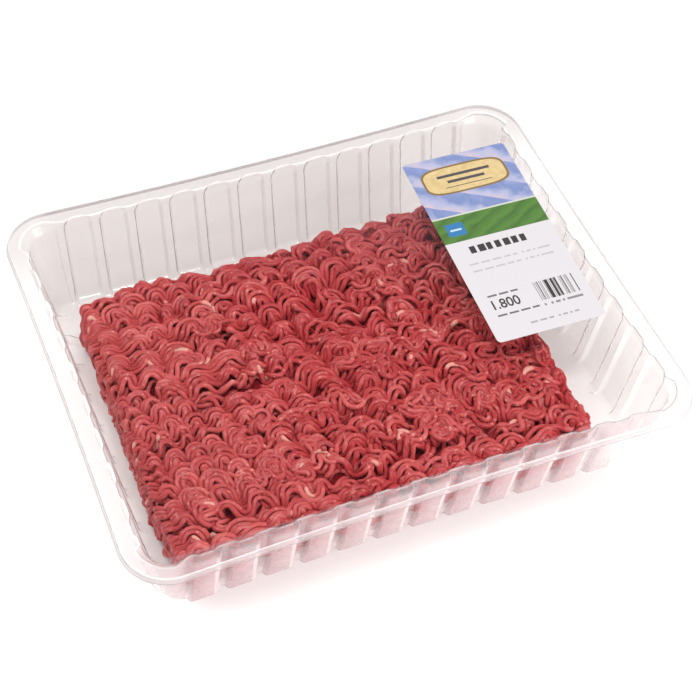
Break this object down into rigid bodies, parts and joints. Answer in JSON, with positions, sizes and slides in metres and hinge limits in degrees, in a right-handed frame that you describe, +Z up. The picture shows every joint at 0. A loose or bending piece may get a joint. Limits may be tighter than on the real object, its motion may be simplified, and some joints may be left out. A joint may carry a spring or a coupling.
{
  "type": "meat tray pack",
  "caption": "Clear fluted retail tray of raw minced beef, closed by a clear lid film that carries a paper label.",
  "frame": {"origin": "middle of the tray's base, on the surface that it stands on", "axes": "+X along the rim's long side, +Y to the far long side, +Z up; the label is at +X"},
  "size_m": [0.3248, 0.2645, 0.061],
  "materials": {
    "clear_pet": "clear thermoformed plastic, glossy, about 0.6 mm",
    "clear_film": "clear sealing film, glossy",
    "label_paper": "printed self-adhesive paper, satin",
    "raw_mince": "raw minced beef, moist, with small pale fat specks"
  },
  "bodies": {
    "root": {"tray": "clear_pet", "lid_film": "clear_film", "label": "label_paper", "mince": "raw_mince"}
  },
  "joints": []
}
